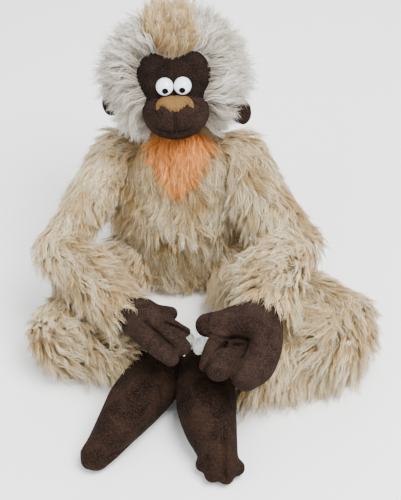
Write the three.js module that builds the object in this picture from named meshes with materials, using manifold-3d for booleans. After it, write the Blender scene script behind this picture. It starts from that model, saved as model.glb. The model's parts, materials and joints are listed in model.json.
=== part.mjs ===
// Stuffed monkey, sitting with its knees out and its hands clasped over its feet.
// Millimetres, +Z up, facing -Y. The origin is the middle of the flat seat panel, on the floor.
// "right" and "left" are the monkey's own, so its right side is the -X side.
import * as THREE from 'three';
import { mergeVertices } from 'three/addons/utils/BufferGeometryUtils.js';
import Module from 'manifold-3d';

const wasm = await Module();
wasm.setup();

// ---------------------------------------------------------------- driving dimensions
const GAP = 0.5;              // clearance between pieces that touch
const JOINT_GAP = 1.5;        // clearance between a ball end and the limb that turns round it
const FACET = 1.05;           // a socket is this much larger, because flat facets cut inside its circle
const ROUND = 12;             // sides of a limb
const FINE = 18;              // sides of the torso and head
const ARC = 2;                // steps in each quarter turn of a rounded end

const ARM_WALL = 10;          // backing cloth and pile of the arm fur, as one soft wall
const LEG_WALL = 11;
const TORSO_WALL = 12;
const PLUSH_WALL = 4;         // short plush of the hands and feet

const SHOULDER_R = 24;
const ELBOW_R = 26;
const HIP_R = 30;
const KNEE_R = 31;
const WRIST_R = 15;
const ANKLE_R = 17;

const LEAN = 0.15;            // how far the torso leans back per unit of height
const TORSO_DEPTH = 0.82;     // torso depth as a share of its width
const SEAT_TOP = 2.5;         // thickness of the seat panel
const TORSO_FLOOR = SEAT_TOP + GAP;
const BEAN_TOP = 34;          // top of the pellet bag

const HEAD = new THREE.Vector3(-3, 34, 226);
const HEAD_FUR_R = 66;        // mean outer radius of the head fur
const HEAD_SKIN_R = 52;       // inside of the hood
const BROW_R = 56;            // outside of the plush face panel
const FACE_PITCH = THREE.MathUtils.degToRad(17);
const FACE_ROLL = THREE.MathUtils.degToRad(3);

const EYE_R = 8.5;
const EYE_X = 8.9;
const EYE_UP = 8.6;            // height of the eyes on the face, above the head's centre
const STEM_R = 2;
const PATCH_X = 16.6;         // plane where the two hand patches meet
const PATCH_AT = [-190, 92];  // Y and Z of the hand patches
const PATCH_R = 8;

const at = (x, y, z) => new THREE.Vector3(x, y, z);

const LIMBS = {
  right: {
    sign: -1,
    shoulder: at(-64, 14, 147), elbow: at(-113, -81, 102), wrist: at(-50, -159, 96),
    hip: at(-52, -26, 36), knee: at(-113, -134, 36), heel: at(-17, -170, 28),
    instep: at(-43, -221, 27), toeBase: at(-64, -250, 20),
    palm: [at(-36, -167, 96), at(-19, -177, 95)],
    fingers: [
      [at(-36, -186, 92), at(-18, -208, 88), at(-6, -225, 86)],
      [at(-14, -186, 94), at(2, -202, 91), at(5, -206, 88)],
      [at(-10, -180, 97), at(4, -190, 95)],
      [at(-24, -170, 101), at(-2, -171, 99)],
    ],
    fingerR: [8.5, 9.5, 8, 8.5],
  },
  left: {
    sign: 1,
    shoulder: at(64, 14, 147), elbow: at(112, -76, 108), wrist: at(86, -163, 100),
    hip: at(52, -26, 36), knee: at(162, -126, 44), heel: at(29, -174, 28),
    instep: at(29, -222, 27), toeBase: at(36, -260, 20),
    palm: [at(78, -168, 98), at(60, -180, 98)],
    fingers: [
      [at(86, -188, 95), at(89, -226, 91), at(64, -251, 88)],
      [at(66, -197, 84), at(54, -218, 86), at(40, -236, 87)],
      [at(60, -188, 95), at(35, -198, 92), at(28, -232, 88)],
      [at(60, -174, 100), at(28, -171, 97)],
    ],
    fingerR: [13, 11.5, 8, 9.5],
  },
};

// ---------------------------------------------------------------- materials
const plush = (color) => new THREE.MeshStandardMaterial({ color, roughness: 0.95, metalness: 0 });
const creamFur = plush(0xd9c8a6);
const whiteFur = plush(0xd8d3c6);
const tanFur = plush(0xc79b5f);
const orangeFur = plush(0xe8924e);
const brownPlush = plush(0x3f2c24);
const nosePlush = plush(0xb98a55);
const fibre = plush(0xf2f1ec);
const canvas = plush(0xcdbb98);
const thread = plush(0x15100e);
const patchCloth = plush(0xd5d8cc);
const eyeWhite = new THREE.MeshStandardMaterial({ color: 0xf4f7fa, roughness: 0.12, metalness: 0 });
const pupilBlack = new THREE.MeshStandardMaterial({ color: 0x0a0a0a, roughness: 0.12, metalness: 0 });
const washerWhite = new THREE.MeshStandardMaterial({ color: 0xdedede, roughness: 0.5, metalness: 0 });

// ---------------------------------------------------------------- solids
// A closed three.js geometry becomes a solid that can be joined and cut.
function toSolid(geometry, matrix = new THREE.Matrix4()) {
  const bare = geometry.clone().applyMatrix4(matrix);
  bare.deleteAttribute('normal');
  bare.deleteAttribute('uv');
  const merged = mergeVertices(bare, 1e-3);
  const corners = merged.index.array;
  const triangles = [];
  for (let i = 0; i < corners.length; i += 3) {
    const [a, b, c] = [corners[i], corners[i + 1], corners[i + 2]];
    if (a !== b && b !== c && a !== c) {
      triangles.push(a, b, c);
    }
  }
  const mesh = new wasm.Mesh({
    numProp: 3,
    vertProperties: new Float32Array(merged.attributes.position.array),
    triVerts: new Uint32Array(triangles),
  });
  return new wasm.Manifold(mesh);
}

function toGeometry(solid, pivot) {
  const mesh = solid.getMesh();
  const geometry = new THREE.BufferGeometry();
  geometry.setAttribute('position', new THREE.BufferAttribute(new Float32Array(mesh.vertProperties), 3));
  geometry.setIndex(new THREE.BufferAttribute(new Uint32Array(mesh.triVerts), 1));
  geometry.translate(-pivot.x, -pivot.y, -pivot.z);
  geometry.computeVertexNormals();
  return geometry;
}

const join = (solids) => solids.reduce((whole, piece) => whole.add(piece));
const cut = (solid, tools) => tools.reduce((rest, tool) => rest.subtract(tool), solid);

// Turns a profile of [distance, radius] points about the line from start towards end.
function turned(start, end, profile, sides = ROUND) {
  const points = profile.map(([along, radius]) => new THREE.Vector2(radius, along));
  const direction = end.clone().sub(start).normalize();
  const turn = new THREE.Quaternion().setFromUnitVectors(at(0, 1, 0), direction);
  const place = new THREE.Matrix4().compose(start, turn, at(1, 1, 1));
  return toSolid(new THREE.LatheGeometry(points, sides), place);
}

// A limb with a ball at each end; waist holds the [distance, radius] points between them.
function ballEnded(start, end, startR, endR, waist = [], sides = ROUND) {
  const length = start.distanceTo(end);
  const profile = [[-startR, 0]];
  for (let i = 1; i <= ARC; i++) {
    const angle = (Math.PI / 2) * (i / ARC);
    profile.push([-startR * Math.cos(angle), startR * Math.sin(angle)]);
  }
  profile.push(...waist);
  for (let i = 0; i < ARC; i++) {
    const angle = (Math.PI / 2) * (i / ARC);
    profile.push([length + endR * Math.sin(angle), endR * Math.cos(angle)]);
  }
  profile.push([length + endR, 0]);
  return turned(start, end, profile, sides);
}

const ball = (centre, radius, sides = ROUND) =>
  toSolid(new THREE.SphereGeometry(radius, sides, Math.round(sides / 2)),
    new THREE.Matrix4().makeTranslation(centre.x, centre.y, centre.z));

const rod = (start, end, radius) => {
  const length = start.distanceTo(end);
  return turned(start, end, [[0, 0], [0, radius], [length, radius], [length, 0]], 10);
};

// How far past a joint a limb of this radius starts, so that it clears its bent neighbour.
function startPast(joint, before, after, ballR, radius) {
  const bend = before.clone().sub(joint).angleTo(after.clone().sub(joint));
  const clear = (ballR + JOINT_GAP + radius * Math.cos(bend)) / Math.sin(bend);
  return Math.max(ballR + JOINT_GAP, clear);
}

// A place on the face: x across, up along the face, out away from the head's centre.
const faceTurn = new THREE.Matrix4().makeBasis(
  at(1, 0, 0),
  at(0, Math.sin(FACE_PITCH), Math.cos(FACE_PITCH)),
  at(0, -Math.cos(FACE_PITCH), Math.sin(FACE_PITCH)),
);
const faceFrame = new THREE.Matrix4().makeTranslation(HEAD.x, HEAD.y, HEAD.z)
  .multiply(faceTurn).multiply(new THREE.Matrix4().makeRotationZ(FACE_ROLL));
const onFace = (x, up, out) => at(x, up, out).applyMatrix4(faceFrame);

function faceEllipsoid(x, up, out, radii, grow = 0, sides = 16) {
  const place = faceFrame.clone()
    .multiply(new THREE.Matrix4().makeTranslation(x, up, out))
    .multiply(new THREE.Matrix4().makeScale(...radii.map((radius) => radius + grow)));
  return toSolid(new THREE.SphereGeometry(1, sides, Math.round(sides * 0.6)), place);
}

// A flat outline pushed straight out along the face direction.
function facePrism(shape, from, to, curveSegments = 5) {
  const options = { depth: to - from, bevelEnabled: false, curveSegments };
  const place = faceFrame.clone().multiply(new THREE.Matrix4().makeTranslation(0, 0, from));
  return toSolid(new THREE.ExtrudeGeometry(shape, options), place);
}

// ---------------------------------------------------------------- scene graph
const monkey = new THREE.Group();

function makeBody(pivot) {
  const group = new THREE.Group();
  group.position.copy(pivot);
  monkey.add(group);
  return (name, solid, material) => {
    const mesh = new THREE.Mesh(toGeometry(solid, pivot), material);
    mesh.name = name;
    group.add(mesh);
  };
}

// ---------------------------------------------------------------- torso
// Half widths of the torso by height; the flat base is on the seat panel.
const TORSO_PROFILE = [
  [TORSO_FLOOR, 50], [9, 59], [22, 65], [50, 67], [88, 66], [122, 61], [148, 52], [166, 41], [177, 27],
];
const TORSO_TOP = 181;

function torsoForm(inset, bottom, top) {
  const inside = TORSO_PROFILE.filter(([height]) => height > bottom + 1 && height < top - 1);
  const radiusAt = (height) => {
    const next = TORSO_PROFILE.findIndex(([level]) => level > height);
    if (next <= 0) {
      return TORSO_PROFILE[next === 0 ? 0 : TORSO_PROFILE.length - 1][1];
    }
    const [[lowZ, lowR], [highZ, highR]] = [TORSO_PROFILE[next - 1], TORSO_PROFILE[next]];
    return lowR + ((highR - lowR) * (height - lowZ)) / (highZ - lowZ);
  };
  const profile = [[0, bottom], [radiusAt(bottom) - inset, bottom]];
  inside.forEach(([height, radius]) => profile.push([radius - inset, height]));
  profile.push([Math.max(radiusAt(top) - inset, 6), top], [0, top]);
  const points = profile.map(([radius, height]) => new THREE.Vector2(radius, height));
  // The lathe turns about Y, so its height becomes Z; the depth is squashed and the whole leans back.
  const upright = new THREE.Matrix4().makeRotationX(Math.PI / 2);
  const squash = new THREE.Matrix4().makeScale(1, TORSO_DEPTH, 1);
  const lean = new THREE.Matrix4().set(1, 0, 0, 0, 0, 1, LEAN, 0, 0, 0, 1, 0, 0, 0, 0, 1);
  return toSolid(new THREE.LatheGeometry(points, FINE), lean.multiply(squash).multiply(upright));
}

function throatWedge(grow) {
  const outline = new THREE.Shape();
  outline.moveTo(-28 - grow, 190);
  outline.lineTo(-27 - grow, 165);
  outline.lineTo(-15 - grow, 147);
  outline.quadraticCurveTo(-2, 126 - 2 * grow, 13 + grow, 147);
  outline.lineTo(26 + grow, 165);
  outline.lineTo(28 + grow, 190);
  // Drawn in X and height, then stood upright so that it is pushed back into the chest.
  const stand = new THREE.Matrix4().makeRotationX(Math.PI / 2).setPosition(0, 6, 0);
  return toSolid(new THREE.ExtrudeGeometry(outline, { depth: 90, bevelEnabled: false, curveSegments: 4 }), stand);
}

function buildTorso() {
  const add = makeBody(at(0, 0, 0));
  const sockets = [ball(HEAD, HEAD_FUR_R + 2 * JOINT_GAP, FINE)];
  for (const limb of Object.values(LIMBS)) {
    sockets.push(ball(limb.shoulder, FACET * (SHOULDER_R + JOINT_GAP)));
    sockets.push(ball(limb.hip, FACET * (HIP_R + JOINT_GAP)));
  }
  const inside = torsoForm(TORSO_WALL, TORSO_FLOOR - 10, TORSO_TOP - TORSO_WALL);
  const shell = cut(torsoForm(0, TORSO_FLOOR, TORSO_TOP).subtract(inside), sockets);
  add('torso_fur', shell.subtract(throatWedge(GAP)), creamFur);
  add('throat_patch', shell.intersect(throatWedge(0)), orangeFur);
  const fill = TORSO_WALL + GAP;
  add('torso_stuffing', cut(torsoForm(fill, BEAN_TOP + GAP, TORSO_TOP - fill), sockets), fibre);
  add('bean_bag', cut(torsoForm(fill, TORSO_FLOOR + GAP, BEAN_TOP), sockets), canvas);
  const panel = new THREE.CylinderGeometry(48, 48, SEAT_TOP, 28).rotateX(Math.PI / 2)
    .scale(1, TORSO_DEPTH, 1).translate(0, 0, SEAT_TOP / 2);
  add('seat_panel', toSolid(panel), canvas);
}

// ---------------------------------------------------------------- head
function browOutline(grow) {
  const outline = new THREE.Shape();
  outline.moveTo(-26 - grow, -16);
  outline.quadraticCurveTo(-27 - grow, -4, -33.5 - grow, 8);
  outline.bezierCurveTo(-40 - grow, 24, -30, 38.5 + grow, -18, 36.4 + grow);
  outline.quadraticCurveTo(-7, 34.5 + grow, 0, 32.8 + grow);
  outline.quadraticCurveTo(7, 34.5 + grow, 18, 36.4 + grow);
  outline.bezierCurveTo(30, 38.5 + grow, 40 + grow, 24, 33.5 + grow, 8);
  outline.quadraticCurveTo(27 + grow, -4, 26 + grow, -16);
  return outline;
}

function noseOutline() {
  const outline = new THREE.Shape();
  outline.moveTo(-13.5, -2);
  outline.quadraticCurveTo(0, 1.5, 13.5, -2);
  outline.quadraticCurveTo(18, -5, 17.5, -12);
  outline.quadraticCurveTo(9, -9.5, 0, -13.5);
  outline.quadraticCurveTo(-9, -9.5, -17.5, -12);
  outline.quadraticCurveTo(-18, -5, -13.5, -2);
  return outline;
}

function mouthOutline() {
  const outline = new THREE.Shape();
  const width = 18.5;
  const thick = 1.3;
  const corner = -32;
  const middle = -41;
  outline.moveTo(-width, corner);
  outline.quadraticCurveTo(0, middle, width, corner);
  outline.lineTo(width, corner + thick);
  outline.quadraticCurveTo(0, middle + thick, -width, corner + thick);
  return outline;
}

const MUZZLE = [0, -21.5, 42];
const MUZZLE_RADII = [32.5, 27, 25];
const muzzleForm = (grow) => faceEllipsoid(...MUZZLE, MUZZLE_RADII, grow, 14);

const EAR_RADII = [4, 13, 12];
const EAR_UP = -27;
const EAR_TILT = 8;           // the left ear is this much lower, and the right ear higher
const earForm = (sign, grow) => faceEllipsoid(sign * 65, EAR_UP - sign * EAR_TILT, 12, EAR_RADII, grow, 12);

function buildHead() {
  const add = makeBody(HEAD);
  const outer = ball(HEAD, HEAD_FUR_R, FINE);
  const inner = ball(HEAD, HEAD_SKIN_R, FINE);
  const opening = facePrism(browOutline(GAP), 0, 90);
  const ears = [earForm(-1, GAP), earForm(1, GAP)];
  add('head_fur', cut(outer.subtract(inner), [opening, muzzleForm(GAP), ...ears]), whiteFur);

  const eyes = [-1, 1].map((sign) => {
    const out = Math.sqrt(BROW_R ** 2 - EYE_X ** 2 - EYE_UP ** 2);
    return { side: sign < 0 ? 'right' : 'left', x: sign * EYE_X, out };
  });
  const stemHoles = eyes.map(({ x }) => rod(onFace(x, EYE_UP, 40), onFace(x, EYE_UP, 60), STEM_R + GAP));
  const washerOut = 44;
  const washerR = 7;
  const pockets = eyes.map(({ x }) => rod(onFace(x, EYE_UP, 38), onFace(x, EYE_UP, 47), washerR + GAP));

  const browShell = ball(HEAD, BROW_R, FINE).subtract(ball(HEAD, HEAD_SKIN_R + GAP, FINE));
  const brow = browShell.intersect(facePrism(browOutline(0), 0, 90));
  add('brow_panel', cut(brow, [muzzleForm(GAP), ...stemHoles]), brownPlush);
  const backing = ball(HEAD, HEAD_SKIN_R + GAP, FINE);
  const nosePrism = facePrism(noseOutline(), 30, 90);
  const eyeRoom = eyes.map(({ x, out }) => ball(onFace(x, EYE_UP, out), FACET * (EYE_R + GAP)));
  add('muzzle', cut(muzzleForm(0), [backing, ...eyeRoom]), brownPlush);
  const noseShell = cut(muzzleForm(3), [muzzleForm(GAP), ball(HEAD, BROW_R + GAP, FINE), ...eyeRoom]);
  add('nose_patch', noseShell.intersect(nosePrism), nosePlush);
  const mouthBand = muzzleForm(1.2).subtract(muzzleForm(0.3));
  add('mouth_stitch', mouthBand.intersect(facePrism(mouthOutline(), 46, 90)), thread);
  const filling = ball(HEAD, HEAD_SKIN_R - GAP, FINE);
  add('head_stuffing', cut(filling, [...stemHoles, ...pockets]), fibre);

  for (const { side, x, out } of eyes) {
    const centre = onFace(x, EYE_UP, out);
    const dome = ball(centre, EYE_R).subtract(ball(HEAD, BROW_R + GAP, FINE));
    const stem = rod(onFace(x, EYE_UP, 41), centre, STEM_R);
    add(`eye_${side}`, dome.add(stem), eyeWhite);
    const gaze = rod(onFace(x, EYE_UP - 3.2, out), onFace(x, EYE_UP - 3.2, out + 20), 2.9);
    const cap = ball(centre, EYE_R + 0.9).subtract(ball(centre, EYE_R + 0.3));
    add(`pupil_${side}`, cap.intersect(gaze), pupilBlack);
    const ring = rod(onFace(x, EYE_UP, washerOut - 1), onFace(x, EYE_UP, washerOut + 1), washerR);
    const hole = rod(onFace(x, EYE_UP, washerOut - 3), onFace(x, EYE_UP, washerOut + 3), STEM_R + 0.3);
    add(`eye_washer_${side}`, ring.subtract(hole), washerWhite);
  }
  for (const [side, sign] of [['right', -1], ['left', 1]]) {
    add(`ear_${side}`, earForm(sign, 0), brownPlush);
  }

  const tuft = ball(HEAD, HEAD_FUR_R + 10, FINE).subtract(ball(HEAD, HEAD_FUR_R + GAP, FINE));
  const strip = new THREE.BoxGeometry(30, 70, 78);
  const stripPlace = faceFrame.clone().multiply(new THREE.Matrix4().makeTranslation(0, 77, 12));
  add('crest_strip', tuft.intersect(toSolid(strip, stripPlace)), tanFur);
}

// ---------------------------------------------------------------- arms
function buildUpperArm(side, limb) {
  const add = makeBody(limb.shoulder);
  const { shoulder, elbow } = limb;
  const length = shoulder.distanceTo(elbow);
  const form = (inset) => ballEnded(shoulder, elbow, SHOULDER_R - inset, ELBOW_R - inset, [
    [22, 19.5 - inset], [46, 21.5 - inset], [length - 26, ELBOW_R - 1 - inset],
  ]);
  const sewnOpening = rod(shoulder, shoulder.clone().add(at(-limb.sign * 30, 3, 0)), 7);
  add(`upper_arm_fur_${side}`, cut(form(0), [form(ARM_WALL), sewnOpening]), creamFur);
  add(`upper_arm_stuffing_${side}`, form(ARM_WALL + GAP), fibre);
}

function buildForearm(side, limb) {
  const add = makeBody(limb.elbow);
  const { elbow, wrist } = limb;
  const length = elbow.distanceTo(wrist);
  const start = startPast(elbow, limb.shoulder, wrist, ELBOW_R, 16);
  const sleeve = turned(elbow, wrist, [
    [start, 0], [start, 16], [start + 7, 24], [start + 20, 27], [length - 28, 27],
    [length - 14, 23], [length - 4, 19], [length - 4, 0],
  ]);
  const fillForm = (inset) => turned(elbow, wrist, [
    [start + 6 + inset, 0], [start + 6 + inset, 9 - inset], [start + 14, 16 - inset],
    [length - 28, 17 - inset], [length - 10 - inset, 13 - inset], [length - 10 - inset, 0],
  ]);
  add(`forearm_fur_${side}`, cut(sleeve, [fillForm(0), ball(wrist, FACET * (WRIST_R + JOINT_GAP))]), creamFur);
  add(`forearm_stuffing_${side}`, fillForm(GAP).subtract(ball(wrist, FACET * (WRIST_R + 2 * JOINT_GAP))), fibre);
}

function buildHand(side, limb) {
  const add = makeBody(limb.wrist);
  const { wrist, palm, sign } = limb;
  const sides = 8;
  const pieces = [
    ballEnded(wrist, palm[0], WRIST_R, 14, [], 10),
    ballEnded(palm[0], palm[1], 14, 18, [], 10),
  ];
  limb.fingers.forEach((bones, finger) => {
    const radius = limb.fingerR[finger];
    for (let i = 1; i < bones.length; i++) {
      pieces.push(ballEnded(bones[i - 1], bones[i], radius, radius, [], sides));
    }
  });
  // The palm is cut flat where its fastener patch is sewn on.
  const near = PATCH_X + sign * 0.5;
  const far = near + sign * 1.5;
  const face = far + sign * GAP;
  const [patchY, patchZ] = PATCH_AT;
  const beyond = toSolid(new THREE.BoxGeometry(60, 160, 120),
    new THREE.Matrix4().makeTranslation(face - sign * 30, patchY, patchZ));
  const pad = rod(at(face, patchY, patchZ), at(face + sign * 14, patchY, patchZ), PATCH_R + 2);
  const fillForm = (wall) => ballEnded(wrist, palm[1], WRIST_R - wall, 18 - wall, [], 10);
  const opening = rod(wrist, wrist.clone().sub(palm[0].clone().sub(wrist).setLength(WRIST_R + 2)), 7);
  const glove = join([...pieces, pad]).subtract(beyond);
  add(`hand_${side}`, cut(glove, [fillForm(PLUSH_WALL), opening]), brownPlush);
  add(`hand_stuffing_${side}`, fillForm(PLUSH_WALL + GAP), fibre);
  add(`hand_patch_${side}`, rod(at(near, patchY, patchZ), at(far, patchY, patchZ), PATCH_R), patchCloth);
}

// ---------------------------------------------------------------- legs
function ankleOf(limb) {
  return limb.heel.clone().add(limb.knee.clone().sub(limb.heel).setLength(32));
}

function buildThigh(side, limb) {
  const add = makeBody(limb.hip);
  const { hip, knee } = limb;
  const length = hip.distanceTo(knee);
  const form = (inset) => ballEnded(hip, knee, HIP_R - inset, KNEE_R - inset, [
    [30, HIP_R - inset], [length - 30, KNEE_R - inset],
  ]);
  const sewnOpening = rod(hip, hip.clone().add(at(-limb.sign * 40, 10, 0)), 8);
  add(`thigh_fur_${side}`, cut(form(0), [form(LEG_WALL), sewnOpening]), creamFur);
  add(`thigh_stuffing_${side}`, form(LEG_WALL + GAP), fibre);
}

function buildShin(side, limb) {
  const add = makeBody(limb.knee);
  const { knee } = limb;
  const ankle = ankleOf(limb);
  const length = knee.distanceTo(ankle);
  const start = startPast(knee, limb.hip, ankle, KNEE_R, 26);
  const leg = turned(knee, ankle, [
    [start, 0], [start, 22], [start + 7, 29], [length - 14, 28], [length - 1, 22], [length - 1, 0],
  ]);
  const fillForm = (inset) => turned(knee, ankle, [
    [start + 5 + inset, 0], [start + 5 + inset, 14 - inset], [start + 9, 18 - inset],
    [length - 12 - inset, 15 - inset], [length - 12 - inset, 0],
  ]);
  add(`shin_fur_${side}`, cut(leg, [fillForm(0), ball(ankle, FACET * (ANKLE_R + JOINT_GAP))]), creamFur);
  add(`shin_stuffing_${side}`, fillForm(GAP).subtract(ball(ankle, FACET * (ANKLE_R + 2 * JOINT_GAP))), fibre);
}

function buildFoot(side, limb) {
  const ankle = ankleOf(limb);
  const add = makeBody(ankle);
  const { heel, instep, toeBase } = limb;
  const forward = toeBase.clone().sub(instep).setZ(0).normalize();
  const across = at(-forward.y, forward.x, 0);
  const pieces = [
    ballEnded(ankle, heel, ANKLE_R, 22, [], 10),
    ballEnded(heel, instep, 22, 25.5, [], 10),
    ballEnded(instep, toeBase, 25.5, 18, [], 10),
  ];
  for (const [spread, reach] of [[-17, 16], [-6, 26], [6, 27], [17, 20]]) {
    const tip = toeBase.clone().addScaledVector(forward, reach).addScaledVector(across, spread).setZ(11);
    const root = toeBase.clone().addScaledVector(across, spread * 0.6).setZ(15);
    pieces.push(ballEnded(root, tip, 9, 8.5, [], 8));
  }
  const fillForm = (wall) => ballEnded(heel, instep, 22 - wall, 25.5 - wall, [], 10);
  const opening = rod(heel, ankle.clone().sub(heel.clone().sub(ankle).setLength(ANKLE_R + 2)), 8);
  add(`foot_${side}`, cut(join(pieces), [fillForm(PLUSH_WALL), opening]), brownPlush);
  add(`foot_stuffing_${side}`, fillForm(PLUSH_WALL + GAP), fibre);
}

buildTorso();
buildHead();
for (const [side, limb] of Object.entries(LIMBS)) {
  buildUpperArm(side, limb);
  buildForearm(side, limb);
  buildHand(side, limb);
  buildThigh(side, limb);
  buildShin(side, limb);
  buildFoot(side, limb);
}

export default monkey;
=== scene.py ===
# Stuffed monkey: its looks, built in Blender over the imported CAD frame.
# Lengths in this script are millimetres and become metres where a mesh is made.
# "right" and "left" are the monkey's own, so its right side is the -X side.
import json
import math

import bpy
import numpy as np
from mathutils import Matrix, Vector


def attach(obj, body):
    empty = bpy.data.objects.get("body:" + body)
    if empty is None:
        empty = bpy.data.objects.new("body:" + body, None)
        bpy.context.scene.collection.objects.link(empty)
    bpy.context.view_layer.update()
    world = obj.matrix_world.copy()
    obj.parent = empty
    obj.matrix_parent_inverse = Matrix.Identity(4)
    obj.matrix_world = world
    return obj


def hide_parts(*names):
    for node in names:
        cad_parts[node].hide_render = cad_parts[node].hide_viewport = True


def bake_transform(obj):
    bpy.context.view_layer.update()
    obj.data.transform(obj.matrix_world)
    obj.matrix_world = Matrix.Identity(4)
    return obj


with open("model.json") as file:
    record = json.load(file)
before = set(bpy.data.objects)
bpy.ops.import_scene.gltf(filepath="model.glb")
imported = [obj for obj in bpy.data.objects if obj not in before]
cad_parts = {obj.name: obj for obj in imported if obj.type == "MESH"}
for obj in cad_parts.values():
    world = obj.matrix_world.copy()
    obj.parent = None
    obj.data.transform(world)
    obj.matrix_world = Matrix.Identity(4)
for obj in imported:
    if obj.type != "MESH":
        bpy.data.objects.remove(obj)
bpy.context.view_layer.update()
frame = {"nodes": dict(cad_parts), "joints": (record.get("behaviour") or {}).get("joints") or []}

MM = 0.001
SIDES = {"right": -1, "left": 1}
UP = np.array([0.0, 0.0, 1.0])

# ---- places, from the frame
JOINT = {j["name"]: np.array(j["pos_m"]) / MM for j in frame["joints"]}
HEAD = JOINT["neck_turn"]

FACE_PITCH = math.radians(17)      # how far the face looks up
FACE_ROLL = math.radians(3)
HEAD_SKIN_R = 53.5
BROW_R = 57.0
EYE_R = 8.4
EYE_X = 8.5
EYE_UP = 8.6
PUPIL_R = 3.1

ARM_SKIN_R = 17.0
LEG_SKIN_R = 23.0
LEAN = 0.15                        # how far the torso leans back per unit of height
TORSO_DEPTH = 0.82                 # of its width
SEAT_TOP = 4.0                     # the torso rests flat on the seat panel
FOOT_BOTTOM = 0.6

DENSITY = 1.0    # share of the fur strands that are made


def unit(v):
    v = np.asarray(v, float)
    return v / np.maximum(np.linalg.norm(v, axis=-1, keepdims=True), 1e-9)


def limb_points(side):
    """The joints of one arm and leg, with the heel, which lies 32 mm past the ankle."""
    names = {
        "shoulder": "shoulder_raise", "elbow": "elbow_open", "wrist": "wrist_open",
        "hip": "hip_open", "knee": "knee_open", "ankle": "ankle_lift",
    }
    points = {key: JOINT[f"{joint}_{side}"] for key, joint in names.items()}
    points["heel"] = points["ankle"] + 32 * unit(points["ankle"] - points["knee"])
    return points


LIMB = {side: limb_points(side) for side in SIDES}


# ---- meshes
def add_object(name, data):
    thing = bpy.data.objects.new(name, data)
    bpy.context.scene.collection.objects.link(thing)
    return thing


def make_mesh(name, verts, faces, material, smooth=True):
    """A mesh object from millimetre points and a list of faces."""
    mesh = bpy.data.meshes.new(name)
    mesh.from_pydata([tuple(v) for v in np.asarray(verts) * MM], [], faces)
    mesh.validate()
    if smooth:
        mesh.polygons.foreach_set("use_smooth", [True] * len(mesh.polygons))
    mesh.materials.append(material)
    return add_object(name, mesh)


def smooth_path(points, steps):
    """A Catmull-Rom curve through the points, at evenly spaced places along it."""
    points = np.asarray(points, float)
    padded = np.vstack([2 * points[0] - points[1], points, 2 * points[-1] - points[-2]])
    fine = []
    for i in range(len(points) - 1):
        a, b, c, d = padded[i:i + 4]
        for t in np.linspace(0, 1, 24, endpoint=False):
            fine.append(0.5 * (2 * b + (c - a) * t + (2 * a - 5 * b + 4 * c - d) * t * t
                               + (3 * b - a - 3 * c + d) * t ** 3))
    fine.append(points[-1])
    fine = np.array(fine)
    run = np.concatenate([[0], np.cumsum(np.linalg.norm(np.diff(fine, axis=0), axis=1))])
    even = np.linspace(0, run[-1], steps)
    return np.stack([np.interp(even, run, fine[:, k]) for k in range(3)], axis=1)


def circle(around):
    """Angles of evenly spaced points round a ring."""
    return np.linspace(0, 2 * math.pi, around, endpoint=False)


def ring_faces(rings, around, flip=False, ends=True):
    """Quads between a stack of rings, with a face over each end of the stack."""
    faces = []
    for i in range(rings - 1):
        for j in range(around):
            k = (j + 1) % around
            a, b = i * around, (i + 1) * around
            faces.append((a + j, a + k, b + k, b + j))
    if ends:
        last = (rings - 1) * around
        faces += [tuple(range(around - 1, -1, -1)), tuple(range(last, last + around))]
    return [face[::-1] for face in faces] if flip else faces


SLICE = 6                          # a point this far past the end of a tube is left where it is


class Tube:
    """A round section swept along a curve, with rounded ends unless it isn't capped."""

    def __init__(self, points, radii, steps=40, up=UP, squash=1.0, capped=True):
        self.path = smooth_path(points, steps)
        places = np.linspace(0, 1, len(radii))
        share = np.linspace(0, 1, steps)
        self.radius = np.interp(share, places, radii)
        self.tangent = unit(np.gradient(self.path, axis=0))
        self.side = unit(np.cross(self.tangent, up))
        self.top = np.cross(self.side, self.tangent)
        self.squash = squash
        self.capped = capped

    def surface(self, share, angle):
        """Points, outward directions and along directions at shares of the length and angles."""
        spot = share * (len(self.path) - 1)

        def sample(values):
            base = np.clip(spot.astype(int), 0, len(self.path) - 2)
            part = spot - base
            if values.ndim > 1:
                part = part[:, None]
            return values[base] * (1 - part) + values[base + 1] * part

        radius = sample(self.radius)[:, None]
        side, top = sample(self.side), sample(self.top)
        across, rise = np.cos(angle)[:, None], np.sin(angle)[:, None]
        outward = across * side + rise * top
        place = sample(self.path) + radius * (across * side + self.squash * rise * top)
        return place, unit(outward), unit(sample(self.tangent))

    def push_out(self, points, lift):
        """Moves points inside the tube out to its surface and a lift above it."""
        gap = points[:, None, :] - self.path[None]
        near = np.linalg.norm(gap, axis=2).argmin(axis=1)
        offset = gap[np.arange(len(points)), near]
        along = (offset * self.tangent[near]).sum(1)
        across = (offset * self.side[near]).sum(1)
        rise = (offset * self.top[near]).sum(1) / self.squash
        far = np.maximum(np.hypot(across, rise), 1e-3)
        need = self.radius[near] + lift
        inside = (far < need) & (np.abs(along) < SLICE)
        more = np.where(inside, need / far, 1) - 1
        outward = (more * across)[:, None] * self.side[near]
        return points + outward + (more * rise * self.squash)[:, None] * self.top[near]

    def cap(self, index, sign):
        """The rings of a rounded end: each one's index, distance past the end, and radius."""
        radius = self.radius[index]
        return [(index, sign * math.sin(turn) * radius, max(radius * math.cos(turn), 0.3))
                for turn in np.linspace(0, math.pi / 2, 7)[1:]]

    def mesh(self, around=32):
        angles = circle(around)
        stations = [(i, 0, radius) for i, radius in enumerate(self.radius)]
        if self.capped:
            stations = self.cap(0, -1)[::-1] + stations + self.cap(len(self.path) - 1, 1)
        rings = []
        for index, past, radius in stations:
            across = np.cos(angles)[:, None] * self.side[index]
            rise = self.squash * np.sin(angles)[:, None] * self.top[index]
            rings.append(self.path[index] + past * self.tangent[index] + radius * (across + rise))
        return np.vstack(rings), ring_faces(len(rings), around)


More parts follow.
